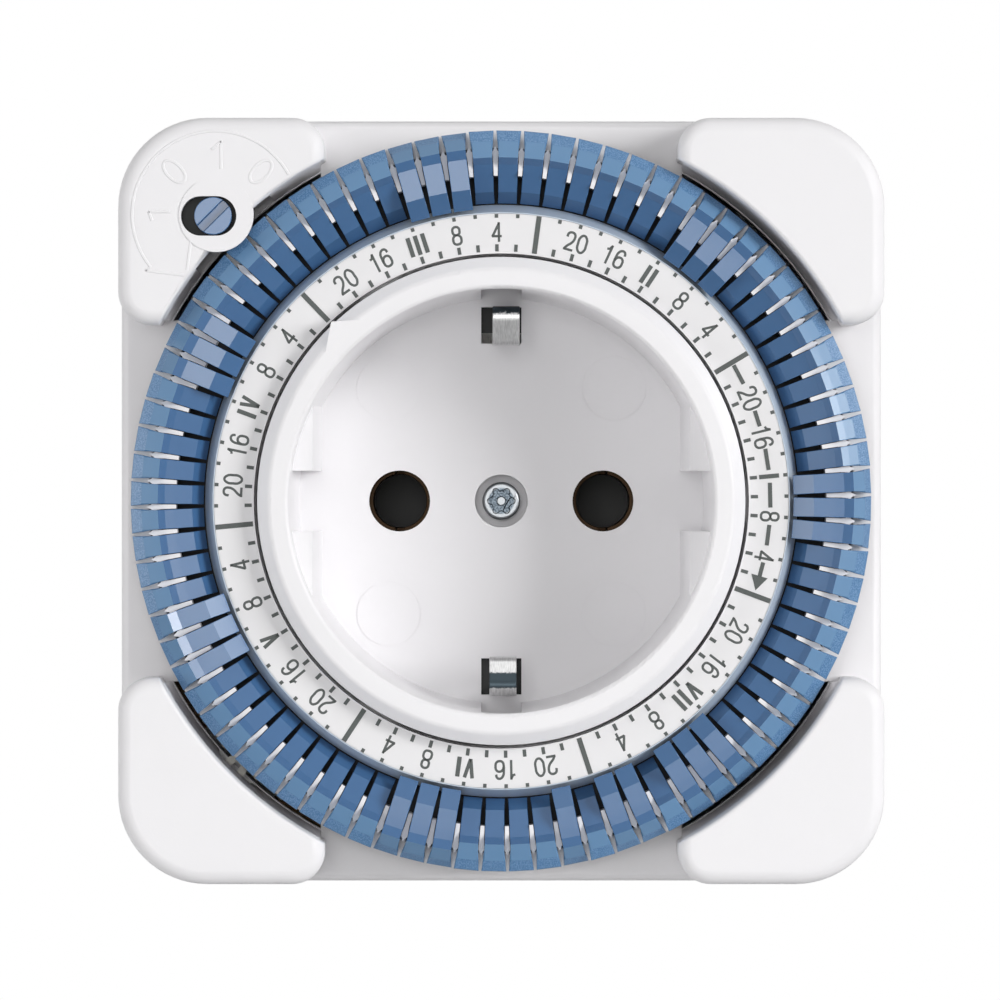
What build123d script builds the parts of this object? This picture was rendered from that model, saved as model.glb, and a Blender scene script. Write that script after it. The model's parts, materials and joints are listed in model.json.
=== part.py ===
"""Plug-in weekly timer switch with a socket in its face.

The origin is midway between the plug pins, on the back face of the casing, which is the wall's surface.
+Z is up and +Y goes into the wall, so the object's front faces -Y. Every height in this file is the distance
in front of the wall, so a height h is at y = -h, and the plug's own heights are negative.
"""
from build123d import *

import os
from math import atan, copysign, cos, hypot, pi, radians, sin, sqrt

os.makedirs("parts", exist_ok=True)

# ---- Casing ----
CASE = 70.5  # side of the square
CASE_CORNER = 8.2
BACK = 67.5  # side of the tapered back
BACK_CORNER = 7.0
WALL = 2.0
SPLIT = 20.0  # height where the two shells meet
PLATE_FACE = 35.0
BLOCK_FACE = 46.0  # face of the raised corner blocks
BLOCK_SPAN = 19.0  # how far a block runs along each side
BLOCK_WALL = 1.8
BLOCK_END_ROUND = 3.0
BLOCK_EDGE = 1.3
BLOCK_LIP = 0.35  # edge round of the inner walls
WELL_RADIUS = 35.4  # the blocks' inner walls, at their top
WELL_FOOT = 34.75  # the same at the plate
WELL_SLOT = 34.2  # inside of the slots at the walls' foot
SCREW_BOSS = 2.6
SCREW_HOLE = 1.3
SCREW_HEAD = 1.9

# ---- Plug ----
PIN_PITCH = 19.0
PIN_RADIUS = 2.4
PIN_LENGTH = 19.0
PIN_NECK = 2.0
PLUG_RADIUS = 18.2
PLUG_BORE = 16.4
PLUG_END = -17.0
PLUG_FLOOR = -14.5
TAIL_RADIUS = 1.2
SLEEVE_RADIUS = 3.1
SLEEVE_FOOT = 12.3

# ---- Socket ----
COLLAR = 22.6  # where the dial runs
RIM = 22.46  # outside of the collar above the dial's bearing
RIM_FACE = 45.5
RECESS_MOUTH = 19.6
RECESS_FOOT = 18.9
FLOOR_FACE = 28.0
FLOOR_BACK = 26.0
PIN_HOLE = 2.85
WELL_BOTTOM = 25.4
EJECTOR = 3.05
EJECTOR_OUT = 10.55
EARTH_SLOT = 3.75
EARTH_HOLE = (14.7, 18.1)  # in the floor
NICHE_BACK = 19.9  # in the recess wall

# ---- Dial ----
SLOTS_PER_DAY = 12
DAYS = 7
PITCH = 360 / (DAYS * SLOTS_PER_DAY)  # degrees from one rocker to the next
FIRST_MIDNIGHT = 110.45  # where day 1 starts, in degrees clockwise from the top
DIAL_BORE = 22.68
DECK_BORE = 22.82  # above the bearing
WEB_LOW = 37.6
WEB_TOP = 38.8
RING_EDGE = 34.05
SHELF_EDGE = 32.55  # inside of the shelf under the finger pads
SHELF_TOP = 42.0
DECK_LOW = 41.7
DECK_TOP = 42.85
LABEL_FACE = 43.1
BAND_RADIUS = 26.52  # where the band meets the label
BAND_FOOT = 27.35
POST_TOP = 44.1

# ---- Rockers ----
PIVOT_RADIUS = 32.0
PIVOT_HEIGHT = 43.3
TILT = 28.0  # degrees between a rocker's on and off positions
WIRE_RADIUS = 0.25
WIRE_HOLE = 0.4
BAR_HALF = 0.895  # half width of a rocker's bar
TIP_HALF = 0.91
PAD_HALF = 1.17  # half width of its finger pad at the outer end

# ---- Gears ----
DIAL_MODULE = 0.5
DIAL_TEETH = 120
DRIVE_TEETH = 10
GEAR_LOW = 35.4
TRAIN_MODULE = 0.3
PINION_TEETH = 12
WHEEL_TEETH = 36
SHAFT = 0.9
SHAFT_BORE = 0.96
RUNNING = 0.06  # radial clearance of a running fit

# ---- Selector and switch, in the upper left block ----
KNOB_AT = (-26.5, 26.2)
SLOT_AT = (-26.9, 26.2)
KNOB_RADIUS = 1.75
SLOT_LENGTH = 5.1
SLOT_WIDTH = 3.64
BOSS_AT = (-26.2, 26.3)
BOSS_RADIUS = 3.42
BOSS_FACE = 46.1
BOSS_FOOT = 44.7  # underside of the part that hangs over the rockers
BOSS_CLEAR = 34.7  # how far from the dial's axis that part reaches
WINDOW_HALF = 4.8  # half width of the opening in the block's inner wall, behind which the switch stands
BLOCK_CEILING = 44.0
SWITCH_LOW = 36.0
SWITCH_TOP = 41.5
STEM_HEIGHT = 38.5
STEM = 0.8

# ---- Places worked out from them ----
PIN_X = PIN_PITCH / 2
DRIVE_CENTRE = DIAL_MODULE * (DIAL_TEETH + DRIVE_TEETH) / 2
MOTOR_AT = (-DRIVE_CENTRE / sqrt(2), -DRIVE_CENTRE / sqrt(2))
TRAIN_CENTRE = TRAIN_MODULE * (PINION_TEETH + WHEEL_TEETH) / 2
WHEEL_AT = (MOTOR_AT[0], MOTOR_AT[1] + TRAIN_CENTRE)
SCREW_OUT = CASE / 2 - 6.0
SCREWS_AT = ((-SCREW_OUT, SCREW_OUT), (SCREW_OUT, SCREW_OUT), (SCREW_OUT, -SCREW_OUT))  # the motor has the fourth
MOTOR_RADIUS = 8.4
MOTOR_TOP = 14.0
BEAMS = ((-14.6, -29.6), (-29.6, -14.0))  # posts that carry the movement plate
INNER_FACE = PLATE_FACE - WALL
SKIRT_INSIDE = CASE / 2 - WALL

SECTION = Plane(origin=(0, 0, 0), x_dir=(1, 0, 0), z_dir=(0, 0, -1))  # radius across, height up
SIDE = Plane(origin=(0, 0, 0), x_dir=(0, 0, 1), z_dir=(1, 0, 0))  # z across, height up
DIAGONAL = Plane(origin=(0, 0, 0), x_dir=(-1, 0, 1), z_dir=(1, 0, 1))  # out to the upper left, height up


def front(height, at=(0, 0)):
    """A plane that faces the viewer at a height, with +X across and +Z up."""
    return Plane(origin=(at[0], -height, at[1]), x_dir=(1, 0, 0), z_dir=(0, -1, 0))


def disc(radius, low, high, at=(0, 0), mode=Mode.ADD):
    """A round bar between two heights, added to or cut from the part being built."""
    with BuildSketch(front(low, at)) as outline:
        Circle(radius)
    extrude(outline.sketch, amount=high - low, mode=mode)


def ring(inner, outer, low, high, at=(0, 0), mode=Mode.ADD):
    """A plain ring between two heights."""
    with BuildSketch(front(low, at)) as outline:
        Circle(outer)
        Circle(inner, mode=Mode.SUBTRACT)
    extrude(outline.sketch, amount=high - low, mode=mode)


def block(x_span, z_span, low, high, mode=Mode.ADD):
    """A rectangular block between two heights, given by its spans across and up."""
    centre = ((x_span[0] + x_span[1]) / 2, (z_span[0] + z_span[1]) / 2)
    with BuildSketch(front(low, centre)) as outline:
        Rectangle(x_span[1] - x_span[0], z_span[1] - z_span[0])
    extrude(outline.sketch, amount=high - low, mode=mode)


def turned(*points, mode=Mode.ADD):
    """An outline of (radius, height) points turned about the dial's axis."""
    with BuildSketch(SECTION) as outline:
        with BuildLine():
            Polyline(*points, close=True)
        make_face()
    revolve(outline.sketch, axis=Axis.Y, mode=mode)


def gear(module, teeth, low, high, at=(0, 0), turn=0.0, bore=0.0):
    """A spur gear whose flanks are arcs through three points of the involute. A tooth points to turn degrees."""
    pitch_radius = module * teeth / 2
    base = pitch_radius * cos(radians(20))
    tip = pitch_radius + 0.8 * module
    root = pitch_radius - 1.15 * module
    foot = max(root, base)
    backlash = 0.06 / teeth

    def half_angle(radius):
        opening = sqrt(max((radius / base) ** 2 - 1, 0))
        at_pitch = sqrt((pitch_radius / base) ** 2 - 1)
        return pi / (2 * teeth) - backlash + at_pitch - atan(at_pitch) - opening + atan(opening)

    def point(radius, angle):
        return (radius * sin(angle), radius * cos(angle))

    with BuildSketch(front(low, at)) as outline:
        with BuildLine():
            for n in range(teeth):
                middle = radians(turn) + 2 * pi * n / teeth
                following = middle + 2 * pi / teeth
                flank = (foot, (foot + tip) / 2, tip)
                ThreePointArc(*[point(r, middle - half_angle(r)) for r in flank])
                Line(point(tip, middle - half_angle(tip)), point(tip, middle + half_angle(tip)))
                ThreePointArc(*[point(r, middle + half_angle(r)) for r in reversed(flank)])
                valley = [point(foot, middle + half_angle(foot)), point(root, middle + half_angle(foot)),
                          point(root, following - half_angle(foot)), point(foot, following - half_angle(foot))]
                if root < foot:
                    Polyline(*valley)
                else:
                    Line(valley[0], valley[3])
        make_face()
        if bore:
            Circle(bore, mode=Mode.SUBTRACT)
    extrude(outline.sketch, amount=high - low)


def strip(plane, thickness, width, offset, bend, *points):
    """A metal strip bent to a radius at each of the points in a plane."""
    with BuildSketch(plane.offset(offset)) as outline:
        with BuildLine() as path:
            FilletPolyline(*points, radius=bend)
        trace(path.line, line_width=thickness)
    extrude(outline.sketch, amount=width / 2, both=True)


def lead(radius, bend, *points):
    """An insulated wire through points given as (x, z, height)."""
    with BuildLine() as path:
        FilletPolyline(*[(x, -height, z) for x, z, height in points], radius=bend)
    with BuildSketch(Plane(origin=path.line @ 0, z_dir=path.line % 0)) as outline:
        Circle(radius)
    sweep(outline.sketch, path=path.line)


def finish(part, name):
    part.label = name
    export_step(part, f"parts/{name}.step")


# ---- Rear housing: tapered tray with the hollow plug body on its back ----
with BuildPart() as rear_housing:
    with BuildSketch(front(0)):
        RectangleRounded(BACK, BACK, BACK_CORNER)
    with BuildSketch(front(SPLIT)):
        RectangleRounded(CASE, CASE, CASE_CORNER)
    loft()
    with BuildSketch(front(WALL)):
        RectangleRounded(BACK - 2 * WALL, BACK - 2 * WALL, BACK_CORNER - WALL)
    with BuildSketch(front(SPLIT)):
        RectangleRounded(CASE - 2 * WALL, CASE - 2 * WALL, CASE_CORNER - WALL)
    loft(mode=Mode.SUBTRACT)
    disc(PLUG_RADIUS, PLUG_END, 0)
    disc(PLUG_BORE, PLUG_FLOOR, WALL, mode=Mode.SUBTRACT)
    for side in (-1, 1):
        disc(PIN_NECK + 0.02, PLUG_END, PLUG_FLOOR, at=(side * PIN_X, 0), mode=Mode.SUBTRACT)
        # groove of the earth strip, and the slot that lets it into the casing
        block((-2.3, 2.3), sorted((side * 17.1, side * 18.4)), PLUG_END, WALL, mode=Mode.SUBTRACT)
        for half in (-1, 1):
            # keyways for the guide blocks of a wall socket
            block(sorted((side * 16.9, side * 18.4)), sorted((half * 3, half * 9.6)), PLUG_END, -0.8,
                  mode=Mode.SUBTRACT)
    for place in SCREWS_AT:
        disc(SCREW_BOSS, 0.5, SPLIT, at=place)
        disc(SCREW_HOLE + RUNNING, 0, SPLIT, at=place, mode=Mode.SUBTRACT)
        disc(SCREW_HEAD + 0.2, 0, 1.6, at=place, mode=Mode.SUBTRACT)
    for beam in BEAMS:
        disc(1.5, 1, MOTOR_TOP, at=beam)
finish(rear_housing.part, "rear_housing")


# ---- Front cover: square plate and skirt with four hollow corner blocks ----
with BuildSketch() as blocks:
    for x in (-1, 1):
        for z in (-1, 1):
            with Locations((x * (CASE - BLOCK_SPAN) / 2, z * (CASE - BLOCK_SPAN) / 2)):
                Rectangle(BLOCK_SPAN, BLOCK_SPAN)
    Circle(WELL_RADIUS, mode=Mode.SUBTRACT)
    outer_corners = blocks.vertices().filter_by(lambda v: abs(v.X) > 35 and abs(v.Y) > 35)
    fillet(outer_corners, radius=CASE_CORNER)
    ends = blocks.vertices().filter_by(lambda v: min(abs(v.X), abs(v.Y)) < CASE / 2 - BLOCK_SPAN + 0.1)
    fillet(ends.filter_by(lambda v: max(abs(v.X), abs(v.Y)) > 35), radius=BLOCK_END_ROUND)

BETWEEN_BLOCKS = CASE - 2 * BLOCK_SPAN + 1.0
with BuildSketch() as well_slots:
    Circle(WELL_FOOT)
    Circle(WELL_SLOT, mode=Mode.SUBTRACT)
    Rectangle(CASE, BETWEEN_BLOCKS, mode=Mode.SUBTRACT)
    Rectangle(BETWEEN_BLOCKS, CASE, mode=Mode.SUBTRACT)

with BuildPart() as well_draft:
    # the blocks' inner walls slope in towards the plate
    turned((WELL_RADIUS + 0.3, INNER_FACE), (WELL_FOOT, INNER_FACE), (WELL_RADIUS - 0.02, BLOCK_FACE - 0.9),
           (WELL_RADIUS + 0.3, BLOCK_FACE - 0.9))
    with BuildSketch(front(INNER_FACE)):
        Rectangle(2 * CASE, BETWEEN_BLOCKS)
        Rectangle(BETWEEN_BLOCKS, 2 * CASE)
    extrude(amount=BLOCK_FACE - INNER_FACE, mode=Mode.SUBTRACT)


def on_well(edge):
    """Whether an edge runs along the blocks' inner walls."""
    return abs(hypot((edge @ 0.5).X, (edge @ 0.5).Z) - WELL_RADIUS) < 0.01


with BuildPart() as front_cover:
    with BuildSketch(front(SPLIT)):
        RectangleRounded(CASE, CASE, CASE_CORNER)
    extrude(amount=PLATE_FACE - SPLIT)
    fillet(front_cover.faces().sort_by(Axis.Y)[0].edges(), radius=0.8)
    with BuildSketch(front(SPLIT)):
        RectangleRounded(CASE - 2 * WALL, CASE - 2 * WALL, CASE_CORNER - WALL)
    extrude(amount=INNER_FACE - SPLIT, mode=Mode.SUBTRACT)
    with BuildSketch(front(INNER_FACE)):
        add(blocks.sketch)
    extrude(amount=BLOCK_FACE - INNER_FACE)
    rims = front_cover.faces().sort_by(Axis.Y)[:4].edges()
    fillet(rims.filter_by(lambda e: e.center().Y < -BLOCK_FACE + 0.01 and not on_well(e)), radius=BLOCK_EDGE)
    lips = front_cover.edges().filter_by(lambda e: on_well(e) and e.center().Y < -BLOCK_FACE + 0.01)
    fillet(lips, radius=BLOCK_LIP)
    add(well_draft.part)
    with BuildSketch(front(INNER_FACE)):
        offset(blocks.sketch, amount=-BLOCK_WALL)
    extrude(amount=BLOCK_CEILING - INNER_FACE, mode=Mode.SUBTRACT)
    disc(COLLAR + 0.2, INNER_FACE, PLATE_FACE, mode=Mode.SUBTRACT)
    with BuildSketch(front(INNER_FACE)):
        add(well_slots.sketch)
    extrude(amount=WALL, mode=Mode.SUBTRACT)
    # screw bosses, each tied to the skirt by two ribs
    for x, z in SCREWS_AT:
        disc(SCREW_BOSS, SPLIT, INNER_FACE + 0.5, at=(x, z))
        block(sorted((x, copysign(SKIRT_INSIDE + 0.3, x))), (z - 0.6, z + 0.6), SPLIT, INNER_FACE)
        block((x - 0.6, x + 0.6), sorted((z, copysign(SKIRT_INSIDE + 0.3, z))), SPLIT, INNER_FACE)
        disc(SCREW_HOLE, SPLIT, INNER_FACE + 0.5, at=(x, z), mode=Mode.SUBTRACT)
    # bush of the drive pinion's shaft, and room for the pinion in the block's inner wall
    disc(2.2, 23, PLATE_FACE, at=MOTOR_AT)
    disc(SHAFT + RUNNING, 23, PLATE_FACE, at=MOTOR_AT, mode=Mode.SUBTRACT)
    disc(3.2, PLATE_FACE, WEB_LOW + 0.4, at=MOTOR_AT, mode=Mode.SUBTRACT)
    # selector boss, clear of the rockers it hangs over, its slot, and room below for the slide and the feeler
    disc(BOSS_RADIUS, BLOCK_CEILING, BOSS_FACE, at=BOSS_AT)
    disc(BOSS_CLEAR, BLOCK_CEILING - 0.1, BOSS_FOOT, mode=Mode.SUBTRACT)
    block((-31.7, -22.2), (23.1, 29.3), 42.2, BLOCK_CEILING, mode=Mode.SUBTRACT)
    with BuildSketch(front(BLOCK_CEILING, SLOT_AT)):
        SlotOverall(SLOT_LENGTH, SLOT_WIDTH)
    extrude(amount=BOSS_FACE - BLOCK_CEILING, mode=Mode.SUBTRACT)
    with BuildSketch(DIAGONAL):
        with Locations((36.0, (PLATE_FACE + 0.4 + BLOCK_CEILING) / 2)):
            Rectangle(4.8, BLOCK_CEILING - PLATE_FACE - 0.4)
    extrude(amount=WINDOW_HALF, both=True, mode=Mode.SUBTRACT)
    # ribs that hold the microswitch down
    block((-33.8, -32.3), (24.4, 26.2), SWITCH_TOP, BLOCK_CEILING + 0.2)
    block((-26.2, -24.4), (32.3, 33.8), SWITCH_TOP, BLOCK_CEILING + 0.2)
finish(front_cover.part, "front_cover")


# ---- Casing screws, driven from the back, in the three corners that the motor leaves free ----
with BuildPart() as casing_screws:
    for place in SCREWS_AT:
        disc(SCREW_HEAD, 0.2, 1.6, at=place)
        disc(SCREW_HOLE - 0.05, 1.6, 31, at=place)
        with BuildSketch(front(0.2, place)):
            Rectangle(2.2, 0.5)
            Rectangle(0.5, 2.2)
        extrude(amount=0.9, mode=Mode.SUBTRACT)
finish(casing_screws.part, "casing_screws")


# ---- Socket insert: collar with the rim, recess, guide blocks and time pointer ----
with BuildPart() as socket_insert:
    turned((0, FLOOR_BACK), (COLLAR, FLOOR_BACK), (COLLAR, 31), (25, 31), (25, INNER_FACE), (COLLAR, INNER_FACE),
           (COLLAR, 40.2), (RIM, 40.2), (RIM, RIM_FACE - 0.9), (21.4, RIM_FACE), (RECESS_MOUTH, RIM_FACE),
           (RECESS_FOOT, FLOOR_FACE), (0, FLOOR_FACE))
    rim_edges = socket_insert.edges().filter_by(lambda e: e.center().Y < -RIM_FACE + 0.01)
    fillet(rim_edges.sort_by(SortBy.LENGTH)[-1], radius=0.8)
    fillet(socket_insert.edges().filter_by(lambda e: e.center().Y < -RIM_FACE + 0.01).sort_by(SortBy.LENGTH)[0],
           radius=0.4)
    for side in (-1, 1):
        for half in (-1, 1):
            with BuildSketch(SECTION.offset(-half * 5.9)):
                with BuildLine():
                    Polyline((side * 16.7, FLOOR_FACE - 0.5), (side * 17.4, 42.5), (side * 19.9, 42.5),
                             (side * 19.9, FLOOR_FACE - 0.5), close=True)
                make_face()
            extrude(amount=3.1, both=True)
        disc(PIN_HOLE, FLOOR_BACK, FLOOR_FACE, at=(side * PIN_X, 0), mode=Mode.SUBTRACT)
        block((-EARTH_SLOT / 2, EARTH_SLOT / 2), sorted(side * edge for edge in EARTH_HOLE), FLOOR_BACK, FLOOR_FACE,
              mode=Mode.SUBTRACT)
        block((-EARTH_SLOT / 2, EARTH_SLOT / 2), sorted((side * EARTH_HOLE[1], side * NICHE_BACK)), FLOOR_FACE, 44.0,
              mode=Mode.SUBTRACT)
        for half in (-1, 1):
            # marks that the mould's ejector pins leave
            ring(EJECTOR - 0.12, EJECTOR, FLOOR_FACE - 0.06, FLOOR_FACE, at=(side * EJECTOR_OUT, half * EJECTOR_OUT),
                 mode=Mode.SUBTRACT)
    disc(3.4, 24.6, FLOOR_BACK)
    disc(2.475, WELL_BOTTOM, FLOOR_FACE, mode=Mode.SUBTRACT)
    disc(TAIL_RADIUS + 0.15, 24.6, WELL_BOTTOM, mode=Mode.SUBTRACT)
    # time pointer: a raised triangle on the rim's slope
    with BuildSketch(front(43.9)):
        with BuildLine():
            Polyline((-15.65, 16.5), (-11.8, 16.72), (-16.4, 12.27), close=True)
        make_face()
    extrude(amount=RIM_FACE - 43.9)
    # three snap lugs that keep the dial on
    with BuildSketch(front(39.4)):
        with PolarLocations(COLLAR, 3):
            Rectangle(0.8, 4)
        Circle(COLLAR + 0.35, mode=Mode.INTERSECT)
        Circle(COLLAR - 0.3, mode=Mode.SUBTRACT)
    extrude(amount=0.6)
finish(socket_insert.part, "socket_insert")


# ---- Earth clips of the socket: one bent strap behind the floor, its ends folded over into the recess ----
with BuildPart() as earth_clips:
    for side, offset_x in ((1, 0.45), (-1, 0.15)):
        strip(SIDE, 0.6, 2.5, offset_x, 0.7, (-side * 2, 24.3), (side * 17.7, 24.3), (side * 17.7, 41.2),
              (side * 14.75, 39.6), (side * 14.75, 33), (side * 15.4, 31))
    disc(TAIL_RADIUS + 0.15, 24, 24.6, mode=Mode.SUBTRACT)
finish(earth_clips.part, "earth_clips")

# ---- Earth strip of the plug: runs up both sides of the plug body and across inside the casing ----
with BuildPart() as plug_earth_strip:
    strip(SIDE, 0.8, 4.0, 0, 0.8, (-17.6, PLUG_END + 1), (-17.6, 3), (17.6, 3), (17.6, PLUG_END + 1))
    disc(TAIL_RADIUS + 0.15, 2.6, 3.4, mode=Mode.SUBTRACT)
finish(plug_earth_strip.part, "plug_earth_strip")

# ---- Centre screw: tamper-proof six-lobe screw that clamps insert, earth clips and carrier together ----
with BuildPart() as centre_screw:
    disc(TAIL_RADIUS, 2.2, WELL_BOTTOM)
    disc(1.775, WELL_BOTTOM, 27.1)
    fillet(centre_screw.edges().filter_by(GeomType.CIRCLE).group_by(Axis.Y)[0], radius=0.3)
    with BuildSketch(front(26.1)):
        Circle(0.95)
        with PolarLocations(1.0, 6):
            Circle(0.3)
        Circle(0.4, mode=Mode.SUBTRACT)
    extrude(amount=1, mode=Mode.SUBTRACT)
finish(centre_screw.part, "centre_screw")

# ---- Contact carrier: insulating block with a pocket for each contact ----
with BuildPart() as contact_carrier:
    block((-19, 19), (-5.5, 5.5), 10, 24)
    for side in (-1, 1):
        block(sorted((side * 5.4, side * 14.4)), (-4.4, 4.4), 12, 24, mode=Mode.SUBTRACT)
        block(sorted((side * 12.9, side * 13.9)), (-2.1, 2.1), 10, 12, mode=Mode.SUBTRACT)
        for half in (-1, 1):
            block(sorted((side * 17.2, side * 19)), sorted((half * 2.5, half * 5.5)), WALL, 10)
    disc(TAIL_RADIUS + 0.05, 10, 24, mode=Mode.SUBTRACT)
finish(contact_carrier.part, "contact_carrier")


# ---- Plug pins ----
def plug_pin(x):
    """A turned pin: its working length, the neck in the plug's end wall, a flange and the riveted tail."""
    disc(PIN_RADIUS, PLUG_END - PIN_LENGTH, PLUG_END, at=(x, 0))
    disc(PIN_NECK, PLUG_END, PLUG_FLOOR, at=(x, 0))
    disc(3.2, PLUG_FLOOR, PLUG_FLOOR + 1.2, at=(x, 0))
    disc(TAIL_RADIUS, PLUG_FLOOR + 1.2, PLUG_FLOOR + 3, at=(x, 0))


with BuildPart() as live_pin:
    plug_pin(-PIN_X)
    fillet(live_pin.edges().group_by(Axis.Y)[-1], radius=0.9)
finish(live_pin.part, "live_pin")

with BuildPart() as neutral_pin:
    plug_pin(PIN_X)
    fillet(neutral_pin.edges().group_by(Axis.Y)[-1], radius=0.9)
finish(neutral_pin.part, "neutral_pin")


# ---- Socket contacts: a rolled brass sleeve behind each pin hole, slit into two leaves, with a tail ----
def contact_sleeve(side, tail_end):
    """The sleeve is slit above and below, and its foot runs out to the tail."""
    ring(PIN_RADIUS + 0.1, SLEEVE_RADIUS, SLEEVE_FOOT, 23.8, at=(side * PIN_X, 0))
    block((side * PIN_X - 0.4, side * PIN_X + 0.4), (-4, 4), SLEEVE_FOOT + 2, 23.8, mode=Mode.SUBTRACT)
    block(sorted((side * (PIN_X + 2.8), side * (PIN_X + 4.25))), (-1.8, 1.8), SLEEVE_FOOT, SLEEVE_FOOT + 0.7)
    block(sorted((side * (PIN_X + 3.55), side * (PIN_X + 4.25))), (-1.8, 1.8), tail_end, SLEEVE_FOOT + 0.7)


with BuildPart() as live_contact:
    contact_sleeve(-1, 4)
finish(live_contact.part, "live_contact")

with BuildPart() as neutral_contact:
    contact_sleeve(1, PLUG_FLOOR + 1.2)
    block((PIN_X - 2, PIN_X + 4.25), (-1.8, 1.8), PLUG_FLOOR + 1.2, PLUG_FLOOR + 1.9)
    disc(TAIL_RADIUS + 0.05, PLUG_FLOOR + 1.2, PLUG_FLOOR + 1.9, at=(PIN_X, 0), mode=Mode.SUBTRACT)
finish(neutral_contact.part, "neutral_contact")

# ---- Leads: pin to microswitch, microswitch to contact, and two thin ones to the motor ----
with BuildPart() as live_lead:
    lead(0.9, 2.5, (-PIN_X, 0, PLUG_FLOOR + 3), (-PIN_X, 0, 6), (-20, 9, 6), (-29.7, 25.5, 12),
         (-29.7, 25.5, SWITCH_LOW))
finish(live_lead.part, "live_lead")

with BuildPart() as switched_lead:
    lead(0.9, 2, (-25.5, 29.7, SWITCH_LOW), (-25.5, 29.7, 20), (-23, 6, 7.5), (-20.5, 0, 7.5),
         (-PIN_X - 4.25, 0, 7.5))
finish(switched_lead.part, "switched_lead")

with BuildPart() as motor_leads:
    can_side = MOTOR_AT[0] + MOTOR_RADIUS
    lead(0.5, 1.5, (can_side, MOTOR_AT[1], 8), (can_side + 4, MOTOR_AT[1], 8), (13.4, -12, 8), (13.4, -1.8, 8))
    lead(0.5, 1.5, (can_side, MOTOR_AT[1], 5), (can_side + 3, MOTOR_AT[1], 5), (-10.5, -9, 5), (-PIN_X, -6, -12.4),
         (-PIN_X, -TAIL_RADIUS, -12.4))
finish(motor_leads.part, "motor_leads")


# ---- Dial carrier: white turning ring with the gear below and a post between every two rockers ----
with BuildPart() as dial_carrier:
    turned((DIAL_BORE, 36), (24, 36), (24, WEB_LOW), (RING_EDGE, WEB_LOW), (RING_EDGE, SHELF_TOP),
           (SHELF_EDGE, SHELF_TOP), (SHELF_EDGE, WEB_TOP), (24, WEB_TOP), (24, DECK_LOW), (BAND_RADIUS, DECK_LOW),
           (BAND_RADIUS, DECK_TOP), (DECK_BORE, DECK_TOP), (DECK_BORE, 40.2), (23.2, 40.2), (23.2, 39.2),
           (DIAL_BORE, 39.2))
    gear(DIAL_MODULE, DIAL_TEETH, GEAR_LOW, WEB_LOW, bore=28)
    with BuildSketch(front(WEB_TOP)):
        with PolarLocations(0, DAYS * SLOTS_PER_DAY, start_angle=90 - FIRST_MIDNIGHT):
            Polygon((29.95, 0.18), (29.95, -0.18), (31.45, -0.22), (31.6, -0.25), (32.15, -0.265), (32.6, -0.05),
                    (32.6, 0.05), (32.15, 0.265), (31.6, 0.25), (31.45, 0.22), align=None)
    extrude(amount=POST_TOP - WEB_TOP)
    with BuildSketch(SECTION):
        with Locations((PIVOT_RADIUS, PIVOT_HEIGHT)):
            Circle(WIRE_RADIUS + 0.03)
    revolve(axis=Axis.Y, mode=Mode.SUBTRACT)
finish(dial_carrier.part, "dial_carrier")

# ---- Dial label and the sloping band round it ----
with BuildPart() as dial_label:
    ring(DECK_BORE, BAND_RADIUS - 0.05, DECK_TOP, LABEL_FACE)
finish(dial_label.part, "dial_label")

with BuildPart() as dial_band:
    turned((BAND_RADIUS, WEB_TOP), (BAND_FOOT, WEB_TOP), (BAND_FOOT, 40.9), (BAND_RADIUS + 0.08, LABEL_FACE),
           (BAND_RADIUS, LABEL_FACE))
finish(dial_band.part, "dial_band")

# ---- Pivot ring: the wire on which every rocker tips ----
with BuildPart() as pivot_ring:
    with BuildSketch(SECTION):
        with Locations((PIVOT_RADIUS, PIVOT_HEIGHT)):
            Circle(WIRE_RADIUS)
    revolve(axis=Axis.Y)
finish(pivot_ring.part, "pivot_ring")

# ---- Rockers: made at the top of the dial, then copied round it ----
PIVOT = Plane(origin=(0, -PIVOT_HEIGHT, PIVOT_RADIUS), x_dir=(0, 0, 1), z_dir=(1, 0, 0))

with BuildPart() as rocker:
    with BuildSketch(PIVOT):
        with BuildLine():
            # top, from the tip outwards: bevel, bar, rise to the crest, the pad's two slopes; then back underneath
            Polyline((-5.1, 0.15), (-3.22, 1.45), (-0.42, 1.4), (0.45, 1.7), (1.5, 0.45), (2.1, -0.5),
                     (1.95, -0.85), (0.6, -0.85), (-0.6, -0.85), (-1.3, -0.2), (-3.0, 0.3), (-5.0, -0.1), close=True)
        make_face()
        Circle(WIRE_HOLE, mode=Mode.SUBTRACT)
    extrude(amount=PAD_HALF, both=True)
    with BuildSketch(front(PIVOT_HEIGHT - 2)):
        with BuildLine():
            Polyline((-TIP_HALF, 26.5), (-BAR_HALF, 29), (-BAR_HALF, 32.45), (-PAD_HALF, 34.1), (-PAD_HALF, 34.6),
                     (PAD_HALF, 34.6), (PAD_HALF, 34.1), (BAR_HALF, 32.45), (BAR_HALF, 29), (TIP_HALF, 26.5),
                     close=True)
        make_face()
    extrude(amount=4, mode=Mode.INTERSECT)

rocker_on = rocker.part
rocker_off = rocker.part.rotate(Axis(PIVOT.origin, (1, 0, 0)), TILT)
SPLIT_BLOCKS = {(6, 18): ((9, 11), (10,)), (7, 0): ((0, 1), (2,))}  # where a block isn't all on or all off
ALSO_ON = ((6, 10), (7, 0), (7, 1))

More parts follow.
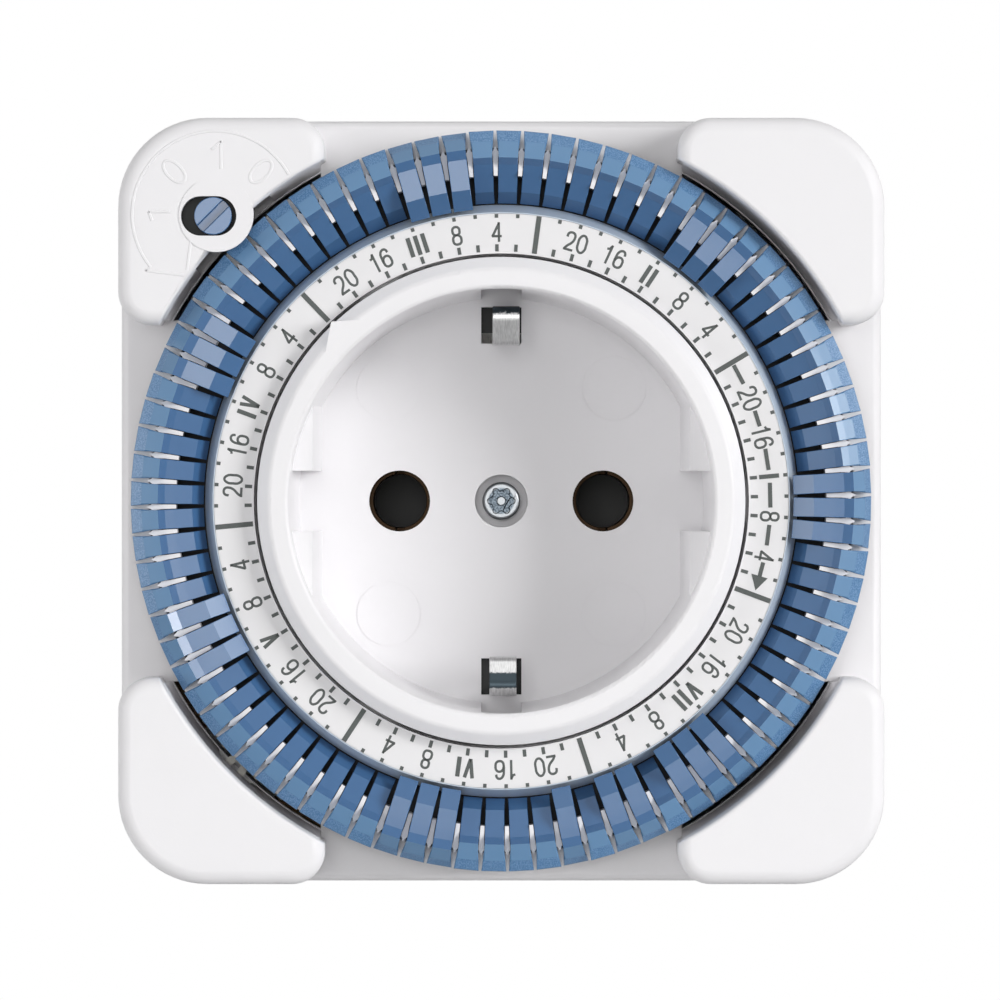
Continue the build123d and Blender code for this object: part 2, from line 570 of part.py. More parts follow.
for day in range(1, DAYS + 1):
    for hour in (0, 6, 12, 18):
        first = hour // 2
        for slots in SPLIT_BLOCKS.get((day, hour), (tuple(range(first, first + 3)),)):
            is_on = hour == 6 or (day, slots[0]) in ALSO_ON
            with BuildPart() as rockers:
                for slot in slots:
                    angle = FIRST_MIDNIGHT - ((day - 1) * SLOTS_PER_DAY + slot + 0.5) * PITCH
                    add((rocker_on if is_on else rocker_off).rotate(Axis.Y, angle))
            start = 2 * slots[0] if len(slots) == 1 else hour
            finish(rockers.part, f"rockers_day{day}_{start:02d}h")

# ---- Drive pinion: turns the dial, and sits on a long shaft with a flange at its foot ----
with BuildPart() as drive_pinion:
    gear(DIAL_MODULE, DRIVE_TEETH, GEAR_LOW, WEB_LOW - 0.2, at=MOTOR_AT, turn=45 + 180 / DRIVE_TEETH)
    disc(SHAFT, 18.4, GEAR_LOW, at=MOTOR_AT)
    disc(1.7, 17.9, 18.4, at=MOTOR_AT)
finish(drive_pinion.part, "drive_pinion")

# ---- Motor: can, coil and rotor ----
with BuildPart() as motor_can:
    disc(MOTOR_RADIUS, WALL, MOTOR_TOP, at=MOTOR_AT)
    disc(MOTOR_RADIUS - 0.5, WALL + 0.5, MOTOR_TOP - 0.5, at=MOTOR_AT, mode=Mode.SUBTRACT)
    disc(0.5 + RUNNING, MOTOR_TOP - 0.5, MOTOR_TOP, at=MOTOR_AT, mode=Mode.SUBTRACT)
    ring(0.5 + RUNNING, 1.3, WALL + 0.5, WALL + 1.7, at=MOTOR_AT)
finish(motor_can.part, "motor_can")

with BuildPart() as motor_coil:
    ring(4.8, 6.8, WALL + 0.5, 12.8, at=MOTOR_AT)
finish(motor_coil.part, "motor_coil")

with BuildPart() as motor_rotor:
    disc(4.3, 4.2, 12.2, at=MOTOR_AT)
    disc(0.5, WALL + 0.8, 17.6, at=MOTOR_AT)
    gear(TRAIN_MODULE, PINION_TEETH, 15.2, 17.6, at=MOTOR_AT, turn=180 / PINION_TEETH)
finish(motor_rotor.part, "motor_rotor")

# ---- Movement plate and the two wheels of the train ----
with BuildPart() as movement_plate:
    with BuildSketch(front(MOTOR_TOP)):
        with Locations(MOTOR_AT):
            Circle(MOTOR_RADIUS)
        with Locations(WHEEL_AT):
            Circle(2.4)
        with Locations(*BEAMS):
            Circle(2)
        make_hull()
        with Locations(MOTOR_AT):
            Circle(0.8, mode=Mode.SUBTRACT)
    extrude(amount=1)
    disc(0.6, MOTOR_TOP + 0.5, 21.6, at=WHEEL_AT)
finish(movement_plate.part, "movement_plate")

with BuildPart() as first_wheel:
    gear(TRAIN_MODULE, WHEEL_TEETH, 15.4, 17.4, at=WHEEL_AT, bore=0.6 + RUNNING)
    gear(TRAIN_MODULE, PINION_TEETH, 17.4, 21.2, at=WHEEL_AT, bore=0.6 + RUNNING)
finish(first_wheel.part, "first_wheel")

with BuildPart() as second_wheel:
    gear(TRAIN_MODULE, WHEEL_TEETH, 18.8, 20.8, at=MOTOR_AT, turn=180 / WHEEL_TEETH, bore=SHAFT_BORE)
    ring(SHAFT_BORE, 1.7, 20.8, 22.4, at=MOTOR_AT)
finish(second_wheel.part, "second_wheel")

# ---- Microswitch and the feeler that the rockers push ----
with BuildPart() as microswitch_body:
    with BuildSketch(DIAGONAL):
        with Locations((39.25, (SWITCH_LOW + SWITCH_TOP) / 2)):
            Rectangle(3.9, SWITCH_TOP - SWITCH_LOW)
    extrude(amount=5.4, both=True)
    with BuildSketch(Plane(origin=DIAGONAL.from_local_coords((37.3, STEM_HEIGHT)), z_dir=(-1, 0, 1))):
        Circle(STEM + RUNNING)
    extrude(amount=2.2, mode=Mode.SUBTRACT)
finish(microswitch_body.part, "microswitch_body")

with BuildPart() as feeler:
    with BuildSketch(DIAGONAL):
        with BuildLine():
            Polyline((34.6, 37.6), (35.2, 37.6), (35.2, 43.2), (34.45, 43.2), (34.45, 42.6), (34.6, 42.3),
                     close=True)
        make_face()
    extrude(amount=1, both=True)
    with BuildSketch(Plane(origin=DIAGONAL.from_local_coords((35.0, STEM_HEIGHT)), z_dir=(-1, 0, 1))):
        Circle(STEM)
    extrude(amount=3.7)
finish(feeler.part, "feeler")

# ---- Selector: a slide under the slot, and the blue knob that turns on it, with a groove for a screwdriver ----
with BuildPart() as selector_slide:
    with BuildSketch(front(43.4)):
        with Locations((KNOB_AT[0], KNOB_AT[1])):
            Rectangle(7.4, 5.6)
            Circle(0.88, mode=Mode.SUBTRACT)
        Circle(34.5, mode=Mode.SUBTRACT)
    extrude(amount=0.5)
finish(selector_slide.part, "selector_slide")

with BuildPart() as selector_knob:
    disc(KNOB_RADIUS, 43.96, 46.1, at=KNOB_AT)
    with BuildSketch(front(45.3, KNOB_AT)):
        with Locations(Location((0, 0), 45)):
            Rectangle(2 * KNOB_RADIUS, 0.85)
    extrude(amount=0.8, mode=Mode.SUBTRACT)
    disc(0.8, 43.1, 43.96, at=KNOB_AT)
    disc(1.15, 42.5, 43.1, at=KNOB_AT)
finish(selector_knob.part, "selector_knob")
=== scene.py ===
"""Looks of a plug-in weekly timer switch, made round its packed construction.

The frame is in metres, with +Z up and the face of the timer towards -Y. Sizes in this script are in
millimetres unless a comment says otherwise, heights are distances in front of the wall, and angles on the
dial run clockwise from the top as the viewer sees them.
"""

import json
from math import cos, pi, radians, sin

import bmesh
import bpy
from mathutils import Matrix, Vector

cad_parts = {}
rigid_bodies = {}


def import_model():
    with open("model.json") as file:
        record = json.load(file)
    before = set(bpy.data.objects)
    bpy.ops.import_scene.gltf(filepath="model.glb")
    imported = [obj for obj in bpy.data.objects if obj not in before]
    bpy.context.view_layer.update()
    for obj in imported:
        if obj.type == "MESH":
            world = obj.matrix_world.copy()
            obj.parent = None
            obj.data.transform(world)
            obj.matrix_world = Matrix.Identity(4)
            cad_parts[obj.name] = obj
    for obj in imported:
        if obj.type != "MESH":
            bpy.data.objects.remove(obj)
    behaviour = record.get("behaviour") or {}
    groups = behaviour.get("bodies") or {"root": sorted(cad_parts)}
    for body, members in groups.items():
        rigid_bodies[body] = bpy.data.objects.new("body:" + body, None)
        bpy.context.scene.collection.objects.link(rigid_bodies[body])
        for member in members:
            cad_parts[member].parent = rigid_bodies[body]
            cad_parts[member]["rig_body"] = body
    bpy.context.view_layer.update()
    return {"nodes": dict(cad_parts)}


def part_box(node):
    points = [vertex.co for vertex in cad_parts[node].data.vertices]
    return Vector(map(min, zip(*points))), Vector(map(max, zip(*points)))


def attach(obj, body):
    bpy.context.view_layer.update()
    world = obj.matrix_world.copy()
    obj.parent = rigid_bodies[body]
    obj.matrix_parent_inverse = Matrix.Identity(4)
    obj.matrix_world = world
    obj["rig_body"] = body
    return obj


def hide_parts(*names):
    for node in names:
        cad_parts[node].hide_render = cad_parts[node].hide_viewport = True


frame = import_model()

MM = 0.001

# ---- Camera: a long lens, square to the face and about a metre in front of it ----
# The sides of the casing stay out of sight, and the picture is just wide enough for the square and a margin.
LENS = 430
SENSOR = 36
FACE_HEIGHT = 46
CAMERA_DISTANCE = 1097.7  # from the blocks' faces
CAMERA_AT = (-0.12, 0.09)

camera = bpy.data.objects.new("camera", bpy.data.cameras.new("camera"))
camera.data.lens = LENS
camera.data.sensor_width = SENSOR
camera.data.clip_start = 0.01
camera.location = (CAMERA_AT[0] * MM, -(FACE_HEIGHT + CAMERA_DISTANCE) * MM, CAMERA_AT[1] * MM)
camera.rotation_euler = (radians(90), 0, 0)
bpy.context.scene.collection.objects.link(camera)
bpy.context.scene.camera = camera
bpy.context.scene.view_settings.view_transform = "Standard"


# ---- Studio: white surroundings, a key on the right, soft fills, two glints, and a pale round floor ----
# The timer is held by its plug, so the floor lies a little below it and takes only a soft shadow. The lamps
# and the surroundings add up to about 1 on a surface that faces the viewer. The glints show in glossy
# surfaces only, and the key lights the matt side of them only.
class Amount:
    """A number that changes over a surface. Sums on it add the nodes that work it out."""

    def __init__(self, nodes, socket):
        self.nodes = nodes
        self.socket = socket

    def maths(self, operation, *numbers):
        return self.nodes.add("ShaderNodeMath", {"operation": operation}, dict(enumerate(numbers)))

    def __add__(self, other):
        return self.maths("ADD", self, other)

    def __radd__(self, other):
        return self.maths("ADD", other, self)

    def __sub__(self, other):
        return self.maths("SUBTRACT", self, other)

    def __rsub__(self, other):
        return self.maths("SUBTRACT", other, self)

    def __mul__(self, other):
        return self.maths("MULTIPLY", self, other)

    def __rmul__(self, other):
        return self.maths("MULTIPLY", other, self)

    def between(self, low, high):
        """0 where the number is under low, 1 over high, and a smooth step from one to the other."""
        return self.nodes.add("ShaderNodeMapRange", {"interpolation_type": "SMOOTHSTEP"},
                              {"Value": self, "From Min": low, "From Max": high})


class Nodes:
    """The nodes of a material or of the world."""

    def __init__(self, tree):
        self.tree = tree

    def feed(self, socket, value):
        if isinstance(value, Amount):
            self.tree.links.new(value.socket, socket)
        else:
            socket.default_value = value

    def add(self, kind, settings, inputs, output=0):
        """Any node: its type, its settings, the values or links of its sockets, and which output is used."""
        made = self.tree.nodes.new(kind)
        for name, value in settings.items():
            setattr(made, name, value)
        for key, value in inputs.items():
            self.feed(made.inputs[key], value)
        return Amount(self, made.outputs[output])


AMBIENT = 0.21  # what the white surroundings give to a matt surface, where 1 is white

world = bpy.data.worlds.new("studio")
bpy.context.scene.world = world
world.use_nodes = True
surroundings = Nodes(world.node_tree)
seen = surroundings.add("ShaderNodeLightPath", {}, {}, "Is Camera Ray")
seen += surroundings.add("ShaderNodeLightPath", {}, {}, "Is Glossy Ray")
seen += surroundings.add("ShaderNodeLightPath", {}, {}, "Is Transmission Ray")
backdrop = world.node_tree.nodes["Background"]
surroundings.feed(backdrop.inputs["Color"], (1, 1, 1, 1))
surroundings.feed(backdrop.inputs["Strength"], AMBIENT + (1 - AMBIENT) * seen.between(0, 1))


def softbox(name, clock, slant, distance, size, share, matt=True, gloss=True):
    """A square lamp that faces the timer, with its distance and size in metres. It stands clock degrees
    clockwise from the top, and slant degrees off the line from the viewer. Its share is what it adds to a
    matt surface that faces it, where 1 is white. It can be hidden from the matt or the glossy side."""
    light = bpy.data.lights.new(name, "AREA")
    light.shape = "SQUARE"
    light.size = size
    light.energy = share * pi ** 2 * distance ** 2
    lamp = bpy.data.objects.new(name, light)
    aside = distance * sin(radians(slant))
    in_front = distance * cos(radians(slant))
    place = Vector((aside * sin(radians(clock)), -in_front, aside * cos(radians(clock))))
    lamp.location = place
    lamp.rotation_euler = (-place).to_track_quat("-Z", "Y").to_euler()
    lamp.visible_diffuse = matt
    lamp.visible_glossy = gloss
    bpy.context.scene.collection.objects.link(lamp)


softbox("key", clock=75, slant=52, distance=1.15, size=0.42, share=0.68, gloss=False)
softbox("left fill", clock=270, slant=66, distance=1.15, size=0.6, share=0.33)
softbox("front fill", clock=315, slant=5, distance=1.45, size=0.36, share=0.15)
softbox("top fill", clock=0, slant=62, distance=1.15, size=0.6, share=0.07)
softbox("right glint", clock=76, slant=37, distance=1.15, size=0.25, share=0.50, matt=False)
softbox("low right glint", clock=68, slant=72, distance=1.15, size=0.35, share=0.30, matt=False)

FLOOR_AT = -60
FLOOR_RADIUS = 290
FLOOR_FADE = (0.15, 0.28)  # distances from its middle, in metres, between which it fades out

floor_shape = bmesh.new()
bmesh.ops.create_circle(floor_shape, cap_ends=True, segments=96, radius=FLOOR_RADIUS * MM)
bmesh.ops.translate(floor_shape, verts=floor_shape.verts, vec=(0, 0, FLOOR_AT * MM))
floor_mesh = bpy.data.meshes.new("floor")
floor_shape.to_mesh(floor_mesh)
floor = bpy.data.objects.new("floor", floor_mesh)
bpy.context.scene.collection.objects.link(floor)


class Finish(Nodes):
    """A material with one glossy-plastic or metal shader, whose constants are set on its own sockets."""

    def __init__(self, name, **constants):
        self.material = bpy.data.materials.new(name)
        self.material.use_nodes = True
        super().__init__(self.material.node_tree)
        self.shader = self.tree.nodes["Principled BSDF"]
        for words, value in constants.items():
            self.set(words.replace("_", " ").title().replace("Ior", "IOR"), value)

    def set(self, socket, value):
        self.feed(self.shader.inputs[socket], value)

    def place(self):
        """Where a point is on its piece, in metres."""
        return self.add("ShaderNodeTexCoord", {}, {}, "Object")

    def stretched(self, across, deep, up):
        """The same, with each direction multiplied, for a grain that runs one way."""
        return self.add("ShaderNodeMapping", {}, {"Vector": self.place(), "Scale": (across, deep, up)})

    def noise(self, grain, detail=2.0, where=None):
        """Cloudy noise from 0 to 1, whose patches are about one grain across, in millimetres."""
        return self.add("ShaderNodeTexNoise", {},
                        {"Vector": where or self.place(), "Scale": 1 / (grain * MM), "Detail": detail})

    def from_axis(self):
        """Distance from the dial's axis, in millimetres."""
        flat = self.add("ShaderNodeVectorMath", {"operation": "MULTIPLY"},
                        {0: self.place(), 1: (1 / MM, 0, 1 / MM)})
        return self.add("ShaderNodeVectorMath", {"operation": "LENGTH"}, {0: flat}, "Value")

    def mix(self, share, first, second):
        """A colour between two."""
        return self.add("ShaderNodeMix", {"data_type": "RGBA"}, {0: share, 6: first, 7: second}, 2)

    def relief(self, height, depth):
        """Feeds a height from 0 to 1 to the surface's normal, as a relief of that depth in millimetres."""
        bump = self.add("ShaderNodeBump", {}, {"Height": height, "Distance": depth * MM})
        self.set("Normal", bump)


pale = Finish("pale_floor", roughness=0.7, specular_ior_level=0.2)
pale.set("Base Color", pale.mix(pale.noise(30), (0.92, 0.92, 0.92, 1), (0.95, 0.95, 0.95, 1)))
from_middle = pale.add("ShaderNodeVectorMath", {"operation": "LENGTH"}, {0: pale.place()}, "Value")
pale.set("Alpha", 1 - from_middle.between(*FLOOR_FADE))
floor_mesh.materials.append(pale.material)


# ---- Casing: the tapered back with its plug body, and the square front with four raised corner blocks ----
# Both are injection mouldings in satin white ABS, with a very fine spark-eroded grain. Screws from the back
# hold them together.
MERGE_WITHIN = 0.002
FLAT_WITHIN = 0.3  # degrees


def white_moulding(name, colour, roughness):
    """Satin white plastic with faint clouding and a fine grain."""
    finish = Finish(name, specular_ior_level=0.25)
    cloud = finish.noise(6, 3)
    darker = [0.975 * c for c in colour[:3]] + [1]
    finish.set("Base Color", finish.mix(cloud, darker, colour))
    grain = finish.noise(0.16, 3)
    finish.set("Roughness", roughness + 0.10 * grain)
    finish.relief(grain, 0.004)
    return finish.material


def from_cad(node, name, material, edge=0.0, sharp=30):
    """A copy of a construction piece with its triangles merged, its flats whole, its edges eased and its
    curves smooth. It rides on the same body and stands for that piece."""
    source = frame["nodes"][node]
    shell = bmesh.new()
    shell.from_mesh(source.data)
    bmesh.ops.remove_doubles(shell, verts=shell.verts, dist=MERGE_WITHIN * MM)
    bmesh.ops.dissolve_limit(shell, angle_limit=radians(FLAT_WITHIN), verts=shell.verts, edges=shell.edges)
    mesh = bpy.data.meshes.new(name)
    shell.to_mesh(mesh)
    shell.free()
    mesh.materials.clear()
    mesh.materials.append(material)
    mesh.shade_smooth()
    mesh.set_sharp_from_angle(angle=radians(sharp))
    piece = bpy.data.objects.new(name, mesh)
    bpy.context.scene.collection.objects.link(piece)
    if edge:
        eased = piece.modifiers.new("eased edges", "BEVEL")
        eased.width = edge * MM
        eased.segments = 2
        eased.limit_method = "ANGLE"
        eased.angle_limit = radians(sharp)
    piece.modifiers.new("even shading", "WEIGHTED_NORMAL").keep_sharp = True
    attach(piece, source["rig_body"])
    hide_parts(node)
    return piece


casing_white = white_moulding("satin_white_abs", (0.862, 0.852, 0.866, 1), 0.34)
back_shell = from_cad("rear_housing", "back_shell", casing_white, edge=0.25)
front_shell = from_cad("front_cover", "front_shell", casing_white)


# ---- Metal that holds the casing and makes the plug: screws, pins, earth strip ----
# The screws are zinc-plated steel, the pins nickel-plated brass turned on a lathe, the strip zinc-plated. The
# head of the screw in the socket is lighter at its rim and centre, and painted shade darkens the six-lobed
# recess between them.
def drawn_metal(name, colour, roughness, grain, along):
    """Metal with fine marks that run one way: along is a small share in that direction."""
    finish = Finish(name, metallic=1.0)
    marks = finish.noise(grain, 4, finish.stretched(*along))
    darker = [0.78 * c for c in colour[:3]] + [1]
    finish.set("Base Color", finish.mix(marks, darker, colour))
    finish.set("Roughness", roughness + 0.16 * marks)
    finish.relief(marks, 0.004)
    return finish.material


steel = drawn_metal("machined_steel", (0.62, 0.62, 0.63, 1), 0.24, 0.12, (1, 1, 1))
zinc = drawn_metal("zinc_plate", (0.66, 0.65, 0.63, 1), 0.22, 0.10, (1, 0.06, 0.06))
nickel = drawn_metal("nickel_plate", (0.70, 0.68, 0.64, 1), 0.16, 0.10, (0.05, 1, 0.05))
brass = drawn_metal("rolled_brass", (0.20, 0.125, 0.07, 1), 0.36, 0.12, (1, 0.05, 1))
# Painted shade: the socket sleeves are brass coloured far darker than brass, for the inside of the pin holes.
shaded_brass = drawn_metal("brass_with_painted_shade", (0.028, 0.017, 0.010, 1), 0.30, 0.12, (1, 0.05, 1))
RIM_OF_HEAD = (1.12, 1.3)  # radii between which the recess gives way to the rim
CENTRE_OF_HEAD = (0.3, 0.45)

screw_zinc = Finish("screw_zinc", metallic=1.0, roughness=0.32)
from_screw_axis = screw_zinc.from_axis()
# Painted shade: the six-lobed recess is coloured dark and mottled, while the rim and centre keep a lighter
# zinc.
recess_mottle = screw_zinc.noise(0.15).between(0.4, 0.6)
recess = screw_zinc.mix(recess_mottle, (0.035, 0.045, 0.055, 1), (0.11, 0.13, 0.15, 1))
rim_and_centre = from_screw_axis.between(*RIM_OF_HEAD) + (1 - from_screw_axis.between(*CENTRE_OF_HEAD))
screw_zinc.set("Base Color", screw_zinc.mix(rim_and_centre, recess, (0.22, 0.23, 0.24, 1)))

for node, name, material, slot in (
        ("casing_screws", "screws_of_casing", steel, "steel"),
        ("centre_screw", "socket_screw", screw_zinc.material, "steel"),
        ("live_pin", "left_plug_pin", nickel, "nickel"),
        ("neutral_pin", "right_plug_pin", nickel, "nickel"),
        ("plug_earth_strip", "earth_strip_of_plug", zinc, "zinc_plate"),
        ("live_contact", "left_socket_sleeve", shaded_brass, "brass"),
        ("neutral_contact", "right_socket_sleeve", shaded_brass, "brass")):
    from_cad(node, name, material, edge=0.05)

# ---- Socket: the insert with its rim, recess and guide blocks, and the earth clips in its walls ----
# The insert is a glossier white moulding. Its rim carries the time pointer. The clips are bent zinc-plated
# strip, darker at the very top of the upper clip, and in a band across the lower one.
socket_white = white_moulding("socket_white", (0.862, 0.852, 0.866, 1), 0.30)
from_cad("socket_insert", "socket_moulding", socket_white, edge=0.06)
UPPER_BEND = (17.55, 17.75)  # distances up from the middle between which it turns dark
LOWER_BEND = (15.9, 16.1)  # the same down from the middle, and where it is bright again
LOWER_BEND_END = (17.35, 17.5)

clip_zinc = Finish("clip_zinc", metallic=1.0)
scratches = clip_zinc.noise(0.10, 4, clip_zinc.stretched(1, 0.06, 0.2))
up = clip_zinc.add("ShaderNodeSeparateXYZ", {}, {"Vector": clip_zinc.place()}, "Z")
above_middle = up * (1 / MM) + 0.6 * clip_zinc.noise(0.25)
below_middle = up * (-1 / MM) + 0.3 * clip_zinc.noise(0.2)
at_bend = above_middle.between(*UPPER_BEND)
at_bend += below_middle.between(*LOWER_BEND) * (1 - below_middle.between(*LOWER_BEND_END))
plated = clip_zinc.mix(scratches.between(0.3, 0.7), (0.50, 0.50, 0.50, 1), (0.66, 0.66, 0.66, 1))
clip_zinc.set("Base Color", clip_zinc.mix(at_bend, plated, (0.045, 0.06, 0.07, 1)))
clip_zinc.set("Roughness", 0.30 + 0.16 * scratches)
clip_zinc.relief(scratches, 0.005)
from_cad("earth_clips", "earth_clip_strap", clip_zinc.material, edge=0.12)

# ---- Dial: white carrier with its posts, the printed ring, and the smoky band round it ----
# The carrier is a fine white moulding, the print is on a foil ring, and the band is a grey-blue strip. A
# near-black ring laid in the gap that the rockers' tips drop into is painted shade.
carrier_white = white_moulding("carrier_white", (0.862, 0.852, 0.866, 1), 0.38)
from_cad("dial_carrier", "dial_wheel", carrier_white)
WELL = (27.36, 32.54)  # inner and outer radius of the gap under the rockers
WELL_SHADE_LEVELS = (38.7, 38.95)  # its underside, sunk in the carrier, and its top


def new_piece(shape, name, material, slot, body, *replaced, smooth=35):
    """Turns a shape in millimetres into a piece that rides on a body. Edges under smooth degrees are shaded
    smooth, and None leaves each face as it is."""
    bmesh.ops.scale(shape, verts=shape.verts, vec=(MM, MM, MM))
    bmesh.ops.recalc_face_normals(shape, faces=shape.faces)
    mesh = bpy.data.meshes.new(name)
    shape.to_mesh(mesh)
    shape.free()
    mesh.materials.append(material)
    if smooth:
        mesh.shade_smooth()
        mesh.set_sharp_from_angle(angle=radians(smooth))
    piece = bpy.data.objects.new(name, mesh)
    bpy.context.scene.collection.objects.link(piece)
    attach(piece, body)
    if replaced:
        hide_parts(*replaced)
    return piece


def turned_ring(outline):
    """An outline of (radius, height) points spun round the dial's axis."""
    shape = bmesh.new()
    corners = [shape.verts.new((radius, -height, 0)) for radius, height in outline]
    edges = [shape.edges.new(pair) for pair in zip(corners, corners[1:] + corners[:1])]
    bmesh.ops.spin(shape, geom=corners + edges, cent=(0, 0, 0), axis=(0, 1, 0), angle=2 * pi, steps=168,
                   use_merge=True)
    return shape


# Painted shade: a near-black ring in the gap under the rockers' tips.
dark = Finish("well_shade_black", specular_ior_level=0.3)
dark.set("Base Color", dark.mix(dark.noise(0.6), (0.010, 0.011, 0.013, 1), (0.020, 0.021, 0.024, 1)))
dark.set("Roughness", 0.5 + 0.1 * dark.noise(0.2))
(inner, outer), (low, top) = WELL, WELL_SHADE_LEVELS
painted_well_shade = turned_ring(((inner, low), (outer, low), (outer, top), (inner, top)))
new_piece(painted_well_shade, "painted_well_shade", dark.material, "black", "dial")

foil = Finish("label_foil", specular_ior_level=0.3)
foil.set("Base Color", foil.mix(foil.noise(3, 3), (0.795, 0.785, 0.79, 1), (0.83, 0.82, 0.825, 1)))
foil.set("Roughness", 0.40 + 0.08 * foil.noise(0.2))
foil.relief(foil.noise(0.25), 0.003)
from_cad("dial_label", "label_ring", foil.material)

smoke = Finish("smoky_band", specular_ior_level=0.6)
smoke.set("Base Color", smoke.mix(smoke.noise(2, 3), (0.52, 0.60, 0.69, 1), (0.58, 0.66, 0.75, 1)))
smoke.set("Roughness", 0.28 + 0.08 * smoke.noise(0.3))
from_cad("dial_band", "band_round_label", smoke.material)
from_cad("pivot_ring", "pivot_wire", steel)

# ---- Print on the ring: a tick every two hours, a line at each midnight, hours, and the day at noon ----
# Thin dark grey ink. The first day also has an arrow that shows which way the dial turns.
DAYS = 7
SLOTS = 12  # two-hour steps in a day
PITCH = 360 / (DAYS * SLOTS)
FIRST_MIDNIGHT = 110.45
LABEL_FACE = -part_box("dial_label")[0].y / MM
INK = 0.03
INNER_TICK = (23.0, 23.66)
OUTER_TICK = (26.1, 26.45)
TICK_WIDTH = 0.32
MIDNIGHT_LINE = (22.98, 26.45)
LINE_WIDTH = 0.46
HOURS = {2: "4", 4: "8", 8: "16", 10: "20"}  # at which step which figures stand
NOON = 6
ROMAN = ("I", "II", "III", "IV", "V", "VI", "VII")
FIGURE_AT = 24.78
FIGURE_HEIGHT = 1.62  # between the middles of the top and bottom strokes
FIGURE_WIDTH = 0.76
FIGURE_STROKE = 0.23
FIGURE_STEP = 1.14
BAR_WIDTH = 0.40
BAR_STEP = 0.70
BAR_HEIGHT = 1.84
V_HALF = 0.36
V_STROKE = 0.34
V_POINT = 0.08  # how far the middle of its strokes stops short of the foot
DASHES = ((59.7, 64.2), (70.4, 73.9), (78.8, 83.4), (86.1, 91.4), (95.1, 99.5), (103.2, 106.3))
DASH_WIDTH = 0.38
ARROW = (106.2, 109.4)
ARROW_HALF = 0.78

# strokes of each figure: whether it is curved, and points on its middle, in a box one wide and one high
FIGURE_STROKES = {
    "0": [(True, [(0.5, 1), (0.91, 0.84), (1, 0.5), (0.91, 0.16), (0.5, 0), (0.09, 0.16), (0, 0.5),
                  (0.09, 0.84)])],
    "1": [(False, [(0.12, 0.77), (0.40, 0.81), (0.60, 1.0)]), (False, [(0.60, 1.06), (0.60, -0.06)])],
    "2": [(True, [(0.02, 0.70), (0.12, 0.92), (0.5, 1.0), (0.88, 0.92), (0.96, 0.72), (0.80, 0.47),
                  (0.25, 0.18), (0.02, 0.0)]),
          (False, [(-0.10, 0.0), (1.06, 0.0)])],
    "4": [(False, [(0.76, -0.06), (0.76, 1.06)]), (False, [(0.80, 1.02), (-0.04, 0.24)]),
          (False, [(-0.08, 0.27), (1.1, 0.27)])],
    "6": [(True, [(0.95, 0.76), (0.82, 0.95), (0.5, 1.0), (0.12, 0.86), (0.0, 0.5), (0.0, 0.3),
                  (0.14, 0.06), (0.5, 0.0), (0.87, 0.07), (1.0, 0.3), (0.87, 0.53), (0.5, 0.6), (0.14, 0.5),
                  (0.01, 0.34)])],
    "8": [(True, [(0.5, 1), (0.86, 0.92), (0.93, 0.76), (0.84, 0.60), (0.5, 0.53), (0.16, 0.60), (0.07, 0.76),
                  (0.14, 0.92)]),
          (True, [(0.5, 0.53), (0.90, 0.43), (1, 0.26), (0.88, 0.06), (0.5, 0), (0.12, 0.06), (0, 0.26),
                  (0.10, 0.43)])],
}
CLOSED = {"0", "8"}


def stroke(points, width, rise, smooth=True, closed=False):
    """A line drawn through points on a plane, as a low ridge of that width and rise."""
    drawn = bpy.data.curves.new("stroke", "CURVE")
    drawn.dimensions = "3D"
    drawn.twist_mode = "Z_UP"
    drawn.bevel_depth = width / 2
    drawn.bevel_resolution = 1
    drawn.use_fill_caps = True
    drawn.resolution_u = 5
    line = drawn.splines.new("BEZIER" if smooth else "POLY")
    knots = line.bezier_points if smooth else line.points
    knots.add(len(points) - 1)
    for knot, point in zip(knots, points):
        if smooth:
            knot.co = (*point, 0)
            knot.handle_left_type = "AUTO"
            knot.handle_right_type = "AUTO"
        else:
            knot.co = (*point, 0, 1)
    line.use_cyclic_u = closed
    holder = bpy.data.objects.new("stroke", drawn)
    bpy.context.scene.collection.objects.link(holder)
    settled = holder.evaluated_get(bpy.context.evaluated_depsgraph_get())
    mesh = bpy.data.meshes.new_from_object(settled)
    bpy.data.objects.remove(holder)
    mesh.transform(Matrix.Diagonal((1, 1, 2 * rise / width, 1)))
    return mesh


def bar(left, right, low, high, rise):
    """A flat rectangle of that rise, on the same plane."""
    shape = bmesh.new()
    bmesh.ops.create_cube(shape, size=1)
    bmesh.ops.scale(shape, verts=shape.verts, vec=(right - left, high - low, 2 * rise))
    bmesh.ops.translate(shape, verts=shape.verts, vec=((left + right) / 2, (low + high) / 2, 0))
    mesh = bpy.data.meshes.new("bar")
    shape.to_mesh(mesh)
    return mesh


def joined(meshes):
    """Several strokes as one mesh."""
    drawn = bmesh.new()
    for mesh in meshes:
        drawn.from_mesh(mesh)
    whole = bpy.data.meshes.new("joined")
    drawn.to_mesh(whole)
    return whole


def figure(letter):
    """One hour figure, standing on the origin."""
    strokes = []
    for smooth, points in FIGURE_STROKES[letter]:
        sized = [((x - 0.5) * FIGURE_WIDTH, (y - 0.5) * FIGURE_HEIGHT) for x, y in points]
        strokes.append(stroke(sized, FIGURE_STROKE, INK, smooth, letter in CLOSED))
    return joined(strokes)


def on_plane(mesh, into, across=0.0, up=0.0, turn=0.0, height=0.0):
    """Adds a mark to a bmesh: moved on its plane, stood up to face the viewer, and turned round the dial."""
    mark = mesh.copy()
    mark.transform(Matrix.Rotation(radians(turn), 4, "Y") @ Matrix.Rotation(radians(90), 4, "X")
                   @ Matrix.Translation((across, up, height)))
    into.from_mesh(mark)


ink = Finish("dark_grey_ink", specular_ior_level=0.3)
ink.set("Base Color", ink.mix(ink.noise(0.12, 3), (0.075, 0.085, 0.082, 1), (0.12, 0.13, 0.125, 1)))
ink.set("Roughness", 0.5 + 0.1 * ink.noise(0.3))

